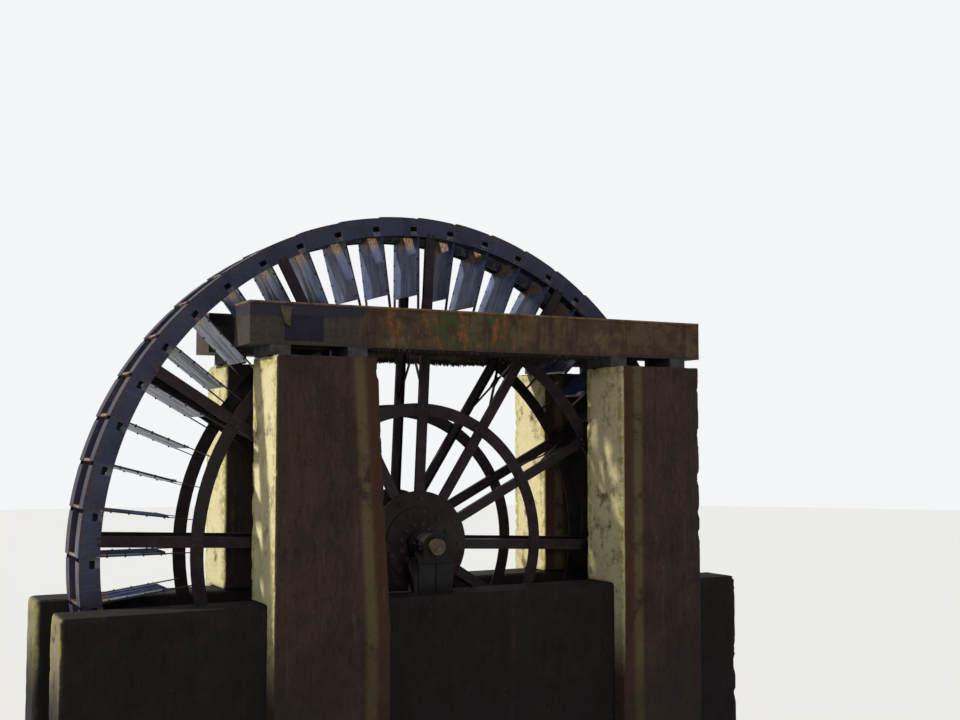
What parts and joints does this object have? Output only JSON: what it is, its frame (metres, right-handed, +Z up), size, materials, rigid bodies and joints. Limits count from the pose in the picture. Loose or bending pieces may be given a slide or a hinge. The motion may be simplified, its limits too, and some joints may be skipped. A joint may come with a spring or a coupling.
{
  "type": "water wheel",
  "caption": "Iron water-raising wheel with bucket rim, blades, braced double spokes and hub, turning in bearings between channel walls, with piers carrying a launder on each side.",
  "frame": {"origin": "centre of the bounding box's underside: on the channel bed, under the middle of the shaft", "axes": "+X along the wheel's plane and the launders, +Y along the shaft to the back, +Z up"},
  "size_m": [8.8, 2.8, 8.35],
  "materials": {
    "masonry": "rough plastered masonry with stains and moss",
    "bearer_stone": "rough wet concrete",
    "launder_steel": "rusted sheet with moss and dark water stains",
    "bearing_blocks": "dark oily stone",
    "bearing_iron": "rusted and greasy",
    "wheel_iron": "dark red-brown rust",
    "shaft_steel": "worn, tan with old grease",
    "blade_steel": "wet grey sheet with moss along the edges",
    "rim_steel": "wet dark blue-grey sheet"
  },
  "bodies": {
    "structure": {"channel_wall_front": "masonry", "channel_wall_back": "masonry", "pier_front_left": "masonry", "pier_front_right": "masonry", "pier_back_left": "masonry", "pier_back_right": "masonry", "launder_bearers_front": "bearer_stone", "launder_bearers_back": "bearer_stone", "launder_floor_front": "launder_steel", "launder_floor_back": "launder_steel", "launder_outer_side_front": "launder_steel", "launder_outer_side_back": "launder_steel", "launder_inner_side_front": "launder_steel", "launder_inner_side_back": "launder_steel", "launder_ends_front": "launder_steel", "launder_ends_back": "launder_steel", "bearing_blocks_front": "bearing_blocks", "bearing_blocks_back": "bearing_blocks", "bearing_front": "bearing_iron", "bearing_back": "bearing_iron"},
    "wheel": {"shaft": "shaft_steel", "hub_disc_front": "wheel_iron", "hub_disc_back": "wheel_iron", "hub_boss_front": "wheel_iron", "hub_boss_back": "wheel_iron", "spokes_front": "wheel_iron", "spokes_back": "wheel_iron", "middle_ring_front": "wheel_iron", "middle_ring_back": "wheel_iron", "ring_splices_front": "wheel_iron", "ring_splices_back": "wheel_iron", "crown_ring_front": "wheel_iron", "crown_ring_back": "wheel_iron", "spoke_braces": "wheel_iron", "brace_plates": "wheel_iron", "blade_arms_front": "wheel_iron", "blade_arms_back": "wheel_iron", "blades": "blade_steel", "rim_plates_front": "rim_steel", "rim_plates_back": "rim_steel", "bucket_soles": "rim_steel", "bucket_dividers": "rim_steel", "bucket_covers": "rim_steel"}
  },
  "joints": [
    {"name": "wheel_turn", "type": "hinge", "parent": "structure", "child": "wheel", "pos_m": [0, 0, 4.25], "axis": [0, 1, 0], "continuous": true}
  ]
}
